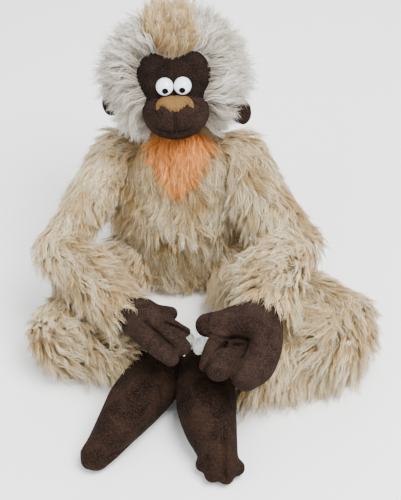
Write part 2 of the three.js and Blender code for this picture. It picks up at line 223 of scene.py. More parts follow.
def joined(tubes, around):
    """The points and faces of several tubes together."""
    verts, faces = [], []
    for tube in tubes:
        some, quads = tube.mesh(around)
        faces += [tuple(i + len(verts) for i in quad) for quad in quads]
        verts += list(some)
    return verts, faces


def evaluated(piece):
    """Puts the result of a piece's modifiers into its mesh."""
    graph = bpy.context.evaluated_depsgraph_get()
    mesh = bpy.data.meshes.new_from_object(piece.evaluated_get(graph))
    piece.modifiers.clear()
    piece.data = mesh
    return piece


def vertex_values(mesh, kind):
    flat = np.empty(3 * len(mesh.vertices))
    mesh.vertices.foreach_get(kind, flat)
    return flat.reshape(-1, 3)


def coordinates(mesh):
    """Vertex places in millimetres."""
    return vertex_values(mesh, "co") / MM


def set_coordinates(mesh, places):
    mesh.vertices.foreach_set("co", (places * MM).ravel())
    mesh.update()


def fused(name, tubes, material, voxel, smooth):
    """One closed skin round several overlapping tubes, smoothed where they meet."""
    piece = make_mesh(name, *joined(tubes, 28), material)
    remesh = piece.modifiers.new("remesh", "REMESH")
    remesh.mode = "VOXEL"
    remesh.voxel_size = voxel * MM
    remesh.use_smooth_shade = True
    soften = piece.modifiers.new("soften", "SMOOTH")
    soften.iterations = smooth
    return evaluated(piece)


PRESSURE = 5000.0                  # inside the small hands and feet, which a low pressure doesn't move
SWELL = 0.8                        # the most that the simulation moves a point
SIM_FRAMES = 20


def inflate(piece):
    """Fills a plush piece by a cloth simulation with pressure inside."""
    before = coordinates(piece.data)
    cloth = piece.modifiers.new("cloth", "CLOTH")
    cloth.settings.use_pressure = True
    cloth.settings.uniform_pressure_force = PRESSURE
    cloth.settings.effector_weights.gravity = 0
    cloth.point_cache.frame_start = 1
    cloth.point_cache.frame_end = SIM_FRAMES
    for step in range(1, SIM_FRAMES + 1):
        bpy.context.scene.frame_set(step)
    graph = bpy.context.evaluated_depsgraph_get()
    move = coordinates(piece.evaluated_get(graph).data) - before
    piece.modifiers.clear()
    bpy.context.scene.frame_set(1)
    far = np.linalg.norm(move, axis=1, keepdims=True)
    set_coordinates(piece.data, before + move * np.minimum(1, SWELL / np.maximum(far, 1e-6)))


def refine(piece):
    rounder = piece.modifiers.new("rounder", "SUBSURF")
    rounder.levels = rounder.render_levels = 1
    return evaluated(piece)


PRESS = unit([0, 0.74, -0.67])      # creases are pressed in from the front and above


def sink(piece, line, depth, width):
    """Presses a crease of this depth and width into the upper front of a piece, under a line."""
    places, out = coordinates(piece.data), vertex_values(piece.data, "normal")
    gap = np.full(len(places), 1e9)
    for point in smooth_path(line, 40):
        offset = places - point
        offset -= np.outer(offset @ PRESS, PRESS)
        gap = np.minimum(gap, np.linalg.norm(offset, axis=1))
    facing = np.clip(-2.5 * (out @ PRESS), 0, 1)
    push = depth * facing * np.exp(-(gap / width) ** 2)
    set_coordinates(piece.data, places + push[:, None] * PRESS)


def keep_above(piece, lowest):
    """Flattens the part of a piece that lies below this height."""
    places = coordinates(piece.data)
    places[:, 2] = np.maximum(places[:, 2], lowest)
    set_coordinates(piece.data, places)


def stand_in(piece, body, node):
    """A piece that rides on a body in place of a CAD node, which is hidden."""
    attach(piece, body)
    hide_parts(node)


# ---- materials
def set_inputs(inputs, values):
    for name, value in values.items():
        inputs[name].default_value = value


class Paint:
    """A procedural material: its shader, and the nodes that feed it."""

    def __init__(self, name, roughness, sheen=0.0, tint=(1, 1, 1), specular=0.3):
        self.material = bpy.data.materials.new(name)
        self.material.use_nodes = True
        self.nodes = self.material.node_tree.nodes
        self.link = self.material.node_tree.links.new
        self.inputs = self.nodes["Principled BSDF"].inputs
        set_inputs(self.inputs, {
            "Roughness": roughness, "Specular IOR Level": specular, "Sheen Weight": sheen,
            "Sheen Roughness": 0.5, "Sheen Tint": (*tint, 1),
        })

    def ramp(self, source, stops):
        """A colour ramp of (place, colour) stops, driven by a socket."""
        node = self.nodes.new("ShaderNodeValToRGB")
        elements = node.color_ramp.elements
        while len(elements) < len(stops):
            elements.new(0.5)
        for element, (place, colour) in zip(elements, stops):
            element.position = place
            element.color = (*colour, 1)
        self.link(source, node.inputs["Fac"])
        return node.outputs["Color"]

    def mask(self, source, low, high):
        return self.ramp(source, [(low, (0, 0, 0)), (high, (1, 1, 1))])

    def noise(self, scale, detail=3, distortion=0.0):
        """Noise in the object's own coordinates, which are metres."""
        place = self.nodes.new("ShaderNodeTexCoord")
        node = self.nodes.new("ShaderNodeTexNoise")
        set_inputs(node.inputs, {"Scale": scale, "Detail": detail, "Distortion": distortion})
        self.link(place.outputs["Object"], node.inputs["Vector"])
        return node.outputs["Fac"]

    def mix(self, factor, a, b, blend="MIX"):
        """Mixes two colours; the factor may be a number and b may be a plain colour."""
        node = self.nodes.new("ShaderNodeMix")
        node.data_type = "RGBA"
        node.blend_type = blend
        factor_in, a_in, b_in = node.inputs[0], node.inputs[6], node.inputs[7]
        if isinstance(factor, float):
            factor_in.default_value = factor
        else:
            self.link(factor, factor_in)
        self.link(a, a_in)
        if isinstance(b, tuple):
            b_in.default_value = (*b, 1)
        else:
            self.link(b, b_in)
        return node.outputs[2]

    def finish(self, colour, height=None, strength=0.0, distance=0.0):
        """Sets the colour, and a bump from a height whose distance is in millimetres."""
        self.link(colour, self.inputs["Base Color"])
        if height is not None:
            node = self.nodes.new("ShaderNodeBump")
            set_inputs(node.inputs, {"Strength": strength, "Distance": distance * MM})
            self.link(height, node.inputs["Height"])
            self.link(node.outputs["Normal"], self.inputs["Normal"])
        return self.material


def pile_material(name, root, middle, tip, gold):
    """Long fur: dark at the root, pale at the tip, with golden patches, and low locks painted darker golden
    as shade under the top locks.
    """
    paint = Paint(name, 0.62, 0.25, tip, 0.25)
    strand = paint.nodes.new("ShaderNodeAttribute")
    strand.attribute_name = "strand"
    parts = paint.nodes.new("ShaderNodeSeparateXYZ")
    paint.link(strand.outputs["Vector"], parts.inputs["Vector"])
    along, lock, hair = parts.outputs
    pale = paint.ramp(along, [(0.0, root), (0.45, middle), (1.0, tip)])
    golden = paint.ramp(along, [(0.0, root), (0.55, gold), (1.0, middle)])
    # painted shade: locks that lie low in the fur take the darker golden colours
    shaded_locks = paint.mask(lock, 0.38, 0.75)
    patches = paint.mask(paint.noise(28.0, 2), 0.42, 0.68)
    colour = paint.mix(paint.mix(1.0, shaded_locks, patches, "SCREEN"), pale, golden)
    shade = paint.ramp(hair, [(0.0, (0.52, 0.48, 0.42)), (1.0, (1.16, 1.16, 1.16))])
    return paint.finish(paint.mix(1.0, colour, shade, "MULTIPLY"))


def backing_material(name, dark, light):
    """Dull cloth or fibre in two tones, for the fur's backing, fillings, canvas and thread."""
    paint = Paint(name, 0.9, 0.3, light, 0.2)
    patches = paint.ramp(paint.noise(60.0, 4, 0.4), [(0.3, dark), (0.7, light)])
    return paint.finish(patches, paint.noise(900.0, 3), 0.5, 1.2)


def plush_material(name, dark, light, fleck, sheen=0.5):
    """Short napped plush: brushed patches, fine pale flecks and a soft sheen."""
    paint = Paint(name, 0.92, sheen, light, 0.08)
    brushed = paint.ramp(paint.noise(55.0, 4, 0.8), [(0.34, dark), (0.68, light)])
    flecks = paint.mask(paint.noise(700.0, 4), 0.45, 0.90)
    return paint.finish(paint.mix(flecks, brushed, fleck), paint.noise(900.0, 4), 0.7, 1.2)


def gloss_material(name, colour, edge, coat=0.6):
    """Moulded plastic with a slight orange-peel finish."""
    paint = Paint(name, 0.12, specular=0.8 * coat)
    set_inputs(paint.inputs, {"Coat Weight": coat, "Coat Roughness": 0.04})
    tone = paint.ramp(paint.noise(160.0, 2), [(0.3, edge), (0.6, colour)])
    return paint.finish(tone, paint.noise(300.0, 1), 0.05, 0.3)


CREAM = pile_material(
    "cream_fur", (0.25, 0.15, 0.06), (0.80, 0.64, 0.37), (0.99, 0.93, 0.73), (0.52, 0.32, 0.12))
WHITE = pile_material(
    "white_fur", (0.34, 0.29, 0.23), (0.78, 0.74, 0.66), (0.99, 0.98, 0.95), (0.56, 0.49, 0.38))
TAN = pile_material(
    "tan_fur", (0.30, 0.17, 0.07), (0.60, 0.42, 0.20), (0.86, 0.71, 0.46), (0.44, 0.27, 0.11))
ORANGE = pile_material(
    "orange_fur", (0.70, 0.20, 0.04), (1.0, 0.40, 0.09), (1.0, 0.60, 0.23), (1.0, 0.36, 0.08))
BACKING = backing_material("fur_backing", (0.30, 0.19, 0.10), (0.50, 0.36, 0.21))
HOOD_BACKING = backing_material("hood_backing", (0.28, 0.25, 0.21), (0.44, 0.40, 0.35))
BROWN = plush_material(
    "brown_plush", (0.008, 0.004, 0.0026), (0.023, 0.0125, 0.009), (0.055, 0.033, 0.023), 0.12)
FOOT_BROWN = plush_material(
    "foot_plush", (0.005, 0.0025, 0.0018), (0.020, 0.010, 0.006), (0.045, 0.025, 0.016), 0.12)
FACE_BROWN = plush_material(
    "face_plush", (0.008, 0.004, 0.003), (0.020, 0.0105, 0.007), (0.050, 0.030, 0.021), 0.12)
BROW_BROWN = plush_material(
    "brow_plush", (0.004, 0.002, 0.0015), (0.011, 0.0055, 0.004), (0.030, 0.018, 0.013), 0.1)
NOSE = plush_material(
    "nose_plush", (0.105, 0.052, 0.016), (0.155, 0.086, 0.030), (0.24, 0.145, 0.062), 0.1)
FIBRE = backing_material("fibre_fill", (0.80, 0.80, 0.78), (0.93, 0.93, 0.91))
CANVAS = backing_material("seat_canvas", (0.42, 0.33, 0.21), (0.60, 0.49, 0.33))
THREAD = backing_material("dark_thread", (0.006, 0.004, 0.003), (0.018, 0.012, 0.010))
PATCH = plush_material("loop_patch", (0.12, 0.13, 0.12), (0.34, 0.35, 0.30), (0.60, 0.62, 0.55), 0.2)
EYE_WHITE = gloss_material("eye_white", (0.83, 0.87, 0.93), (0.78, 0.83, 0.91))
EYE_BLACK = gloss_material("eye_black", (0.002, 0.002, 0.002), (0.004, 0.004, 0.005), 0.05)
WASHER = gloss_material("washer_plastic", (0.75, 0.75, 0.74), (0.68, 0.68, 0.67))


# ---- fur
STRAND_POINTS = 7
LOCK_SPACING = 4.5 / math.sqrt(DENSITY)
HAIRS = 10                         # in one lock
LOCK_R = 3.6
HAIR_WIDTH = 0.5
CLUMP = 0.42                       # how far the hairs of a lock close up at its tip
STRAYS = 0.16                      # share of the hairs that stand off their lock
LOCK_WAVE = 21.0                   # length of one wave along a lock
MOST_STRANDS = 5800                # in one piece, which keeps each piece's mesh light


def strand_mesh(name, paths, widths, lock, hair, material):
    """Closed three-sided strands that taper to a point, with an unwrap of one cell a strand."""
    count, steps = paths.shape[:2]
    tangent = unit(np.gradient(paths, axis=1))
    guide = unit(np.cross(paths[:, -1] - paths[:, 0], np.array([0.31, 0.52, 0.79])))[:, None, :]
    side = unit(np.cross(tangent, guide))
    top = np.cross(tangent, side)
    share = np.linspace(0, 1, steps)
    taper = np.interp(share, [0, 0.35, 0.8, 1], [0.75, 1.0, 0.7, 0.1])
    per = 3 * (steps - 1) + 1
    verts = np.empty((count, per, 3))
    for corner in range(3):
        turn = 2 * math.pi * corner / 3
        reach = (0.5 * widths[:, None] * taper)[:, :, None]
        edge = paths + reach * (math.cos(turn) * side + math.sin(turn) * top)
        verts[:, corner:per - 1:3] = edge[:, :-1]
    verts[:, -1] = paths[:, -1]

    pattern, sizes = strand_faces(steps)
    loops = (pattern[None, :] + per * np.arange(count)[:, None]).ravel()
    totals = np.tile(sizes, count)
    starts = np.concatenate([[0], np.cumsum(totals)[:-1]])

    mesh = bpy.data.meshes.new(name)
    mesh.vertices.add(count * per)
    mesh.vertices.foreach_set("co", (verts * MM).astype(np.float32).ravel())
    mesh.loops.add(len(loops))
    mesh.loops.foreach_set("vertex_index", loops.astype(np.int32))
    mesh.polygons.add(len(totals))
    mesh.polygons.foreach_set("loop_start", starts.astype(np.int32))
    mesh.update(calc_edges=True)
    mesh.polygons.foreach_set("use_smooth", np.ones(len(totals), bool))

    along = np.append(np.repeat(share[:-1], 3), 1.0)
    facts = np.empty((count, per, 3), np.float32)
    facts[:, :, 0] = along
    # the lock's painted shade, higher for locks that lie low in the fur
    facts[:, :, 1] = lock[:, None]
    facts[:, :, 2] = hair[:, None]
    mesh.attributes.new("strand", "FLOAT_VECTOR", "POINT").data.foreach_set("vector", facts.ravel())
    unwrap_strands(mesh, count, pattern, along)
    mesh.materials.append(material)
    return add_object(name, mesh)


def strand_faces(steps):
    """One strand's corner numbers in a row, and how many of them each face takes."""
    corners = []
    for k in range(steps - 2):
        for c in range(3):
            n = (c + 1) % 3
            corners.append([3 * k + c, 3 * k + n, 3 * k + 3 + n, 3 * k + 3 + c])
    last = 3 * (steps - 2)
    tips = [[last + c, last + (c + 1) % 3, last + 3] for c in range(3)]
    tips.append([2, 1, 0])
    pattern = np.array([i for face in corners + tips for i in face])
    return pattern, np.array([4] * len(corners) + [3] * len(tips))


def unwrap_strands(mesh, count, pattern, along):
    """Each strand has its own cell of the map, with its length up the cell."""
    columns = max(1, int(math.sqrt(count * 2.5)))
    rows = math.ceil(count / columns)
    index = np.arange(count)
    corner = np.minimum(pattern, pattern.max() - 1) % 3
    across = np.where(pattern == pattern.max(), 0.5, 0.15 + 0.35 * corner)
    u = (index[:, None] % columns + across[None, :]) / columns
    v = (index[:, None] // columns + 0.06 + 0.88 * along[pattern][None, :]) / rows
    layer = mesh.uv_layers.new(name="OFBake")
    layer.data.foreach_set("uv", np.stack([u, v], axis=-1).astype(np.float32).ravel())


def thin_out(points, spacing, rng):
    """Picks about one point for each cell of this size, so that they lie evenly."""
    order = rng.permutation(len(points))
    cells = np.floor(points[order] / spacing).astype(int)
    _, first = np.unique(cells, axis=0, return_index=True)
    return order[first]


def swirl(place, scale, rng):
    """A smooth field of directions: places closer than this scale turn the same way."""
    field = np.zeros_like(place)
    for _ in range(6):
        wave = rng.normal(size=3) / scale
        field += np.outer(np.sin(place @ wave + rng.uniform(0, 2 * math.pi)), unit(rng.normal(size=3)))
    return 0.6 * field


def lock_paths(place, outward, flow, length, outside, rng, lean, droop, wave, turn, depth):
    """The middle line of each lock, with its height in the fur and its sideways direction.

    A lock curves along its flow at its own height over the skin, up to the depth of the fur.
    The function called outside keeps points out of the skin."""
    locks = len(place)
    share = np.linspace(0, 1, STRAND_POINTS)
    length = length * rng.uniform(0.75, 1.2, locks)
    heading = unit(flow + turn * swirl(place, 17, rng) + 0.2 * rng.normal(size=(locks, 3)))
    heading = unit(heading - np.minimum((heading * outward).sum(1), 0)[:, None] * outward)
    lean = np.broadcast_to(np.asarray(lean, float).reshape(-1, 1), (locks, 1))
    direction = unit((1 - lean) * outward + lean * heading)
    sideways = unit(np.cross(outward, heading) + 1e-6)
    bend = 0.5 * swirl(place, 9, rng)[:, :1] + rng.normal(0, 0.15, (locks, 1))
    height = rng.uniform(0.15, 1, locks)
    paths = np.empty((locks, STRAND_POINTS, 3))
    paths[:, 0] = place - 1.5 * outward
    step = (length / (STRAND_POINTS - 1))[:, None]
    for k in range(1, STRAND_POINTS):
        pull = droop * share[k]
        down = 0.55 * heading - 0.45 * UP
        direction = unit(direction * (1 - pull) + pull * down + 0.25 * bend * sideways)
        lift = 0.8 + depth * height * share[k] ** 0.7
        paths[:, k] = outside(paths[:, k - 1] + step * direction, lift)
    phase = 2.5 * swirl(place, 12, rng)[:, :1] + rng.normal(0, 0.5, (locks, 1))
    turns = (length / LOCK_WAVE)[:, None]
    swing = wave * share[None, :] ** 0.8 * np.sin(2 * math.pi * turns * share[None, :] + phase)
    paths += swing[:, :, None] * sideways[:, None, :]
    lift = 0.5 * wave * share[None, :] * np.cos(2 * math.pi * turns * share[None, :] + 1.7 * phase)
    paths += lift[:, :, None] * outward[:, None, :]
    return paths, height, sideways


def grow(name, place, outward, flow, length, material, seed, outside, lean=0.62, droop=0.45,
         wave=3.0, turn=0.6, depth=9.0):
    """Fur from lock roots: locks of hairs that close up to their tips. Low locks are painted darker golden,
    as shade under the top locks.
    """
    rng = np.random.default_rng(seed)
    paths, height, sideways = lock_paths(place, outward, flow, length, outside, rng, lean, droop,
                                         wave, turn, depth)
    share = np.linspace(0, 1, STRAND_POINTS)
    owner = np.repeat(np.arange(len(place)), HAIRS)
    total = len(owner)
    angle = rng.uniform(0, 2 * math.pi, total)
    reach = LOCK_R * np.sqrt(rng.uniform(0, 1, total))
    across = sideways[owner]
    over = np.cross(outward[owner], across)
    offset = reach[:, None] * (np.cos(angle)[:, None] * across + np.sin(angle)[:, None] * over)
    closing = 1 - CLUMP * share ** 0.7
    strands = paths[owner] + offset[:, None, :] * closing[None, :, None]
    frizz = rng.normal(0, 0.6, (total, STRAND_POINTS, 3)) * share[None, :, None]
    loose = rng.uniform(0, 1, total) < STRAYS
    frizz[loose] *= 3.5
    strands += frizz
    scale = rng.uniform(0.8, 1.08, total)[:, None, None]
    strands = strands[:, :1] + (strands - strands[:, :1]) * scale
    strands[:, :, 2] = np.maximum(strands[:, :, 2], 0.7 + rng.uniform(0, 1.5, total)[:, None])
    widths = HAIR_WIDTH * rng.uniform(0.7, 1.25, total)
    # painted shade: the lower a lock lies in the fur, the more golden and dark it is, with a little random
    # spread
    lock_shade = np.clip((1 - height)[owner] + rng.normal(0, 0.12, total), 0, 1)
    hair_tone = rng.uniform(0, 1, total)
    groups = np.array_split(np.arange(total), math.ceil(total / MOST_STRANDS))
    return [strand_mesh(f"{name}_{i + 1}", strands[g], widths[g], lock_shade[g], hair_tone[g], material)
            for i, g in enumerate(groups)]


def tube_roots(tube, spacing, rng, start=0.0, end=1.0):
    """Evenly spread lock roots on a tube between two shares of its length."""
    run = np.linalg.norm(np.diff(tube.path, axis=0), axis=1).sum()
    area = 2 * math.pi * tube.radius.mean() * run * (end - start)
    tries = int(8 * area / spacing ** 2)
    share = rng.uniform(start, end, tries)
    angle = rng.uniform(0, 2 * math.pi, tries)
    place, outward, along = tube.surface(share, angle)
    keep = thin_out(place, spacing, rng)
    return place[keep], outward[keep], along[keep], share[keep]


# ---- torso
def torso_tube():
    heights = np.array([10, 22, 40, 60, 95, 125, 150, 168, 178.0])
    radii = np.array([50, 56, 59.5, 60.5, 59, 55, 48, 39, 25.0])
    even = np.linspace(heights[0], heights[-1], 14)
    points = np.stack([0 * even, LEAN * even, even], axis=1)
    return Tube(points, np.interp(even, heights, radii), up=np.array([0, -1.0, 0]), squash=TORSO_DEPTH)


def build_torso():
    tube = torso_tube()
    skin = make_mesh("torso_skin", *tube.mesh(48), BACKING)
    keep_above(skin, SEAT_TOP)
    stand_in(skin, "torso", "torso_fur")
    rng = np.random.default_rng(11)
    place, outward, _, share = tube_roots(tube, LOCK_SPACING, rng, 0.02, 0.93)
    keep = ~in_throat(place) & (np.linalg.norm(place - HEAD, axis=1) > HEAD_SKIN_R)
    for limb in LIMB.values():
        keep &= np.linalg.norm(place - limb["shoulder"], axis=1) > 13
        keep &= np.linalg.norm(place - limb["hip"], axis=1) > 19
    place, outward, share = place[keep], outward[keep], share[keep]
    flow = np.tile(-UP, (len(place), 1)) + 0.2 * outward
    length = np.interp(share, [0, 0.12, 0.3, 0.5, 1], [20, 22, 30, 36, 34])
    for pile in grow("torso_pile", place, outward, flow, length, CREAM, 12, tube.push_out):
        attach(pile, "torso")


def in_throat(place):
    """True where the orange throat patch is: a wedge on the front of the chest."""
    height = place[:, 2]
    half = np.interp(height, [137, 150, 165, 190], [0, 12, 20, 22])
    return (place[:, 1] < 10) & (np.abs(place[:, 0] - 1) < half) & (height > 137)


def build_throat():
    tube = torso_tube()
    rng = np.random.default_rng(21)
    place, outward, _, _ = tube_roots(tube, 0.75 * LOCK_SPACING, rng, 0.5, 1.0)
    keep = in_throat(place)
    place, outward = place[keep], outward[keep]
    flow = np.tile(-UP, (len(place), 1)) + 0.3 * outward
    length = np.full(len(place), 24.0)
    piles = grow("throat_pile", place, outward, flow, length, ORANGE, 22, tube.push_out, lean=0.5,
                 turn=0.25, depth=14)
    for pile in piles:
        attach(pile, "torso")
    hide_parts("throat_patch")


# ---- head
def face_basis():
    """The face's own axes: across it, up it, and out of it."""
    across = np.array([1.0, 0, 0])
    up = np.array([0, math.sin(FACE_PITCH), math.cos(FACE_PITCH)])
    out = np.array([0, -math.cos(FACE_PITCH), math.sin(FACE_PITCH)])
    cosine, sine = math.cos(FACE_ROLL), math.sin(FACE_ROLL)
    return np.stack([cosine * across + sine * up, cosine * up - sine * across, out])


FACE = face_basis()


def on_face(x, up, out):
    """Face coordinates to the row frame; each may be a number or an array."""
    x, up, out = np.broadcast_arrays(np.asarray(x, float), up, out)
    return HEAD + np.stack([x, up, out], axis=-1) @ FACE


def brow_outline(steps):
    """The heart-shaped edge of the face panel, as face coordinates."""
    half = [(0, 32.8), (5, 33.0), (11, 34.6), (18, 36.4), (25.5, 34), (31.5, 28), (35.2, 20),
            (35.6, 13), (33, 5), (28.5, -3), (26.5, -16)]
    right = smooth_path([(x, y, 0) for x, y in half], steps // 2)[:, :2]
    left = right[::-1] * [-1, 1]
    return np.vstack([right, left])


MUZZLE = np.array([0, -21.5, 42.0])
MUZZLE_RADII = np.array([32.5, 27.0, 25.0])
MOUTH_HALF = 19


def mouth_polar(x):
    """How far below the muzzle's foremost point the mouth lies, as a negative angle."""
    return np.radians(-34 + 6 * (np.abs(x) / MOUTH_HALF) ** 2)


def in_face(place, margin):
    """True inside the face panel's outline or near the muzzle."""
    local = (place - HEAD) @ FACE.T
    half = np.interp(local[:, 1], [-45, -18, -4, 6, 16, 28, 34, 37],
                     [27, 30, 28, 33, 36, 31.5, 25.5, 17])
    panel = (np.abs(local[:, 0]) < half + margin) & (local[:, 1] < 36.4 + margin) & (local[:, 1] > -46)
    dip = 32 + 4.5 * np.clip(np.abs(local[:, 0]) / 18, 0, 1)
    panel &= local[:, 1] < dip + margin
    muzzle = np.linalg.norm((local - MUZZLE) / (MUZZLE_RADII + margin), axis=1) < 1
    return (local[:, 2] > 0) & (panel | muzzle)


def sphere_points(count, rng):
    """Directions spread evenly over a ball, slightly shaken."""
    i = np.arange(count) + 0.5
    z = 1 - 2 * i / count
    turn = math.pi * (1 + math.sqrt(5)) * i
    flat = np.sqrt(1 - z * z)
    points = np.stack([np.cos(turn) * flat, np.sin(turn) * flat, z], axis=1)
    return unit(points + rng.normal(0, 0.25 / math.sqrt(count), points.shape) * 2)


def build_head_skin():
    pole = (HEAD_SKIN_R - 1) * UP
    tube = Tube([HEAD - pole, HEAD, HEAD + pole], [1, 1], steps=30, up=np.array([0, -1.0, 0]),
                capped=False)
    height = (tube.path - HEAD)[:, 2]
    tube.radius = np.sqrt(np.maximum(HEAD_SKIN_R ** 2 - height ** 2, 1))
    skin = make_mesh("head_hood", *tube.mesh(48), HOOD_BACKING)
    stand_in(skin, "head", "head_fur")


def off_head(points, lift):
    """Moves points inside the head out to its skin and a lift above it."""
    offset = points - HEAD
    far = np.linalg.norm(offset, axis=1)
    more = np.maximum((HEAD_SKIN_R + lift) / far, 1)
    return HEAD + offset * more[:, None]


def build_head_fur():
    rng = np.random.default_rng(31)
    count = int(4 * math.pi * HEAD_SKIN_R ** 2 / (0.78 * LOCK_SPACING) ** 2)
    outward = sphere_points(count, rng)
    place = HEAD + HEAD_SKIN_R * outward
    local = outward @ FACE.T
    chin = (local[:, 1] < -0.5) & (local[:, 2] > 0) & (np.abs(local[:, 0]) < 0.5)
    by_ear = np.zeros(len(local), bool)
    for sign, clear in ((1, 0.28), (-1, 0.17)):
        ear = unit([sign * EAR_CENTRE[0], EAR_CENTRE[1] - sign * EAR_TILT, EAR_CENTRE[2]])
        by_ear |= np.linalg.norm(local - ear - [0, 0.05, 0.14], axis=1) < clear
    keep = ~in_face(place, -1.5) & ~chin & ~by_ear
    place, outward = place[keep], outward[keep]
    local = outward @ FACE.T
    away = np.stack([local[:, 0], local[:, 1] + 0.12, np.full(len(local), -0.35)], axis=1)
    flow = unit(away) @ FACE + np.outer(np.clip(-local[:, 2], 0, 1), -UP) * 0.8
    half = 0.33 + 0.05 * rng.normal(size=len(local))
    crest = (np.abs(local[:, 0] + 0.03) < half) & (local[:, 1] > 0.5) & (local[:, 2] > -0.3)
    length = 30 - 7.0 * (local[:, 1] < -0.5) - 9 * np.clip(-2 * local[:, 2], 0, 1)
    hood = ~crest
    rim = in_face(place, 5.0)
    lean = np.where(rim, 0.45, 0.62)
    for pile in grow("head_pile", place[hood], outward[hood], flow[hood], length[hood], WHITE, 32,
                     off_head, lean=lean[hood], droop=0.28, turn=0.6, depth=12):
        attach(pile, "head")
    tuft_flow = flow[crest] + 0.8 * UP
    tufts = grow("crest_pile", place[crest], outward[crest], tuft_flow, np.full(crest.sum(), 32.0), TAN,
                 33, off_head, lean=0.45, droop=0.12, wave=1.6, turn=0.4, depth=12)
    for tuft in tufts:
        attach(tuft, "head")
    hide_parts("crest_strip")


def build_brow():
    edge = brow_outline(96)
    middle = np.array([0, 8.0])
    rings = 14
    front = []
    for i in range(1, rings + 1):
        share = math.sin(0.5 * math.pi * i / rings)
        flat = middle + (edge - middle) * share
        puff = BROW_R - 2.6 * share ** 6
        front.append(on_face(flat[:, 0], flat[:, 1], np.sqrt(puff ** 2 - (flat ** 2).sum(1))))
    inner_r = HEAD_SKIN_R - 2
    back = on_face(edge[:, 0], edge[:, 1], np.sqrt(inner_r ** 2 - (edge ** 2).sum(1)))
    centre = on_face(*middle, math.sqrt(BROW_R ** 2 - (middle ** 2).sum()))
    inner = on_face(*middle, math.sqrt(inner_r ** 2 - (middle ** 2).sum()))
    verts = np.vstack([centre[None, :], *front, back, inner[None, :]])
    around = len(edge)
    faces = [tuple(i + 1 for i in face) for face in ring_faces(rings + 1, around, ends=False)]
    last = 1 + rings * around
    for j in range(around):
        k = (j + 1) % around
        faces += [(0, 1 + k, 1 + j), (last + j, last + k, len(verts) - 1)]
    brow = make_mesh("brow_plush", verts, faces, BROW_BROWN)
    stand_in(brow, "head", "brow_panel")


def build_muzzle():
    rows, around = 40, 72
    verts = []
    for i in range(rows + 1):
        polar = math.pi * i / rows
        for j in range(around):
            turn = 2 * math.pi * j / around
            flat = math.sin(polar)
            direction = np.array([flat * math.cos(turn), flat * math.sin(turn), math.cos(polar)])
            verts.append(MUZZLE + muzzle_shape(direction))
    faces = ring_faces(rows + 1, around, flip=True, ends=False)
    muzzle = make_mesh("muzzle_plush", on_face(*np.array(verts).T), faces, FACE_BROWN)
    stand_in(muzzle, "head", "muzzle")


def muzzle_shape(direction):
    """Offset of the muzzle's surface, with its middle seam and the mouth pressed in."""
    point = direction * MUZZLE_RADII
    front = max(direction[2], 0)
    polar = math.atan2(direction[1], max(direction[2], 1e-3))
    seam = math.exp(-(point[0] / 1.5) ** 2) * front * (polar > mouth_polar(0))
    fold = math.exp(-((polar - mouth_polar(point[0])) / 0.05) ** 2) * front
    fold *= np.clip((MOUTH_HALF + 3 - abs(point[0])) / 4, 0, 1)
    lip = math.exp(-((polar - mouth_polar(point[0]) + 0.17) / 0.08) ** 2) * front
    lip *= np.clip((MOUTH_HALF - abs(point[0])) / 6, 0, 1)
    return point - direction * (1.5 * seam + 3.0 * fold - 1.5 * lip)


def build_eyes():
    out = math.sqrt(BROW_R ** 2 - EYE_X ** 2 - EYE_UP ** 2)
    for side, sign in SIDES.items():
        centre = np.array([sign * EYE_X, EYE_UP, out])
        eye = make_dome(f"eye_{side}_dome", centre, EYE_R, EYE_WHITE)
        stand_in(eye, "head", f"eye_{side}")
        gaze = unit(np.array([-sign * 0.05, -0.27, 0.96]))
        pupil = make_pupil(f"pupil_{side}_disc", centre, gaze, EYE_BLACK)
        stand_in(pupil, "head", f"pupil_{side}")


def make_dome(name, centre, radius, material):
    """A moulded eye: a ball front with a rolled rim and a flat back."""
    profile = [(0.3, radius)]
    for turn in np.linspace(0, math.pi / 2, 16)[1:]:
        profile.append((radius * math.sin(turn), radius * math.cos(turn)))
    profile += [(radius + 0.1, -0.4), (radius + 0.1, -1.2), (radius - 1, -1.8)]
    profile += [(radius * 0.6, -3), (0.3, -3)]
    around = 48
    turn = circle(around)
    verts = []
    for r, z in profile:
        verts.append(np.stack([r * np.cos(turn), r * np.sin(turn), np.full(around, z)], axis=1))
    verts = centre + np.vstack(verts)
    return make_mesh(name, on_face(*verts.T), ring_faces(len(profile), around, flip=True), material)


def make_pupil(name, centre, gaze, material):
    """A thin domed disc on the eye, facing along the gaze."""
    side = unit(np.cross(gaze, [0, 1.0, 0]))
    top = np.cross(side, gaze)
    around = 32
    turn = circle(around)
    rings = [(0.2, 0.55), (0.5, 0.5), (0.85, 0.4), (1.0, 0.15), (1.0, -0.6)]
    verts = []
    for share, lift in rings:
        r = PUPIL_R * share
        height = math.sqrt(EYE_R ** 2 - r * r) + lift
        ring = np.cos(turn)[:, None] * side * r + np.sin(turn)[:, None] * top * r + gaze * height
        verts.append(centre + ring)
    faces = ring_faces(len(rings), around, flip=True)
    return make_mesh(name, on_face(*np.vstack(verts).T), faces, material)


def on_muzzle(x, polar, lift):
    """A face place on the muzzle: x across, polar is the angle above its foremost point."""
    x, polar = np.broadcast_arrays(np.asarray(x, float), polar)
    ring = np.sqrt(np.maximum(1 - (x / MUZZLE_RADII[0]) ** 2, 0))
    up = MUZZLE[1] + (MUZZLE_RADII[1] + lift) * ring * np.sin(polar)
    out = MUZZLE[2] + (MUZZLE_RADII[2] + lift) * ring * np.cos(polar)
    return x, up, out


